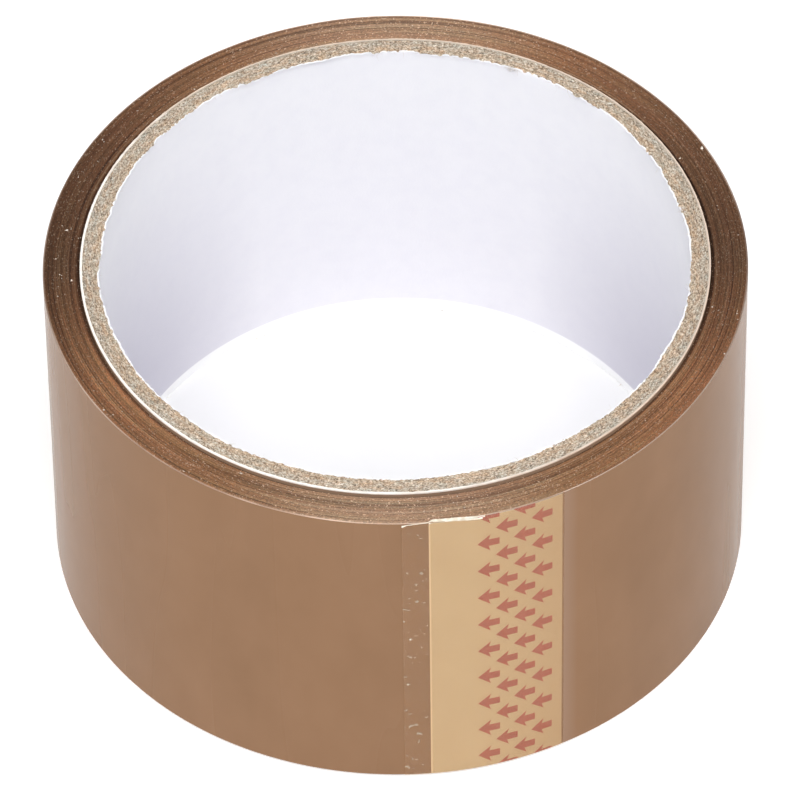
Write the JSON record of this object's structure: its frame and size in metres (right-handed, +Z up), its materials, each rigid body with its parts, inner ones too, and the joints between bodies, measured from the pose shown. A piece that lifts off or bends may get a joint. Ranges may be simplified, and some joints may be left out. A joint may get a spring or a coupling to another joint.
{
  "type": "parcel tape roll",
  "caption": "Roll of brown parcel packing tape wound on a hollow paper core, with a printed starter tab under its lead end.",
  "frame": {"origin": "middle of the core's bore at its lower end, the plane that the roll stands on", "axes": "+Z up along the core's axis; -Y towards the free end of the tape; the outer turn runs anticlockwise from the peel line, seen from +Z"},
  "size_m": [0.0908, 0.0909, 0.049],
  "materials": {
    "inner_liner_paper": "matte",
    "core_board": "matte",
    "outer_liner_paper": "matte",
    "brown_tape": "gloss",
    "tab_film": "satin"
  },
  "bodies": {
    "roll": {"core_inner_liner": "inner_liner_paper", "core_board_ply_1": "core_board", "core_board_ply_2": "core_board", "core_board_ply_3": "core_board", "core_board_ply_4": "core_board", "core_outer_liner": "outer_liner_paper", "wound_tape": "brown_tape"},
    "lead_end": {"lead_end": "brown_tape", "starter_tab": "tab_film"}
  },
  "joints": [
    {"name": "lead_end_lift", "type": "hinge", "parent": "roll", "child": "lead_end", "pos_m": [0.02085, -0.04041, 0.0245], "axis": [0, 0, 1], "range_deg": [0, 90]}
  ]
}
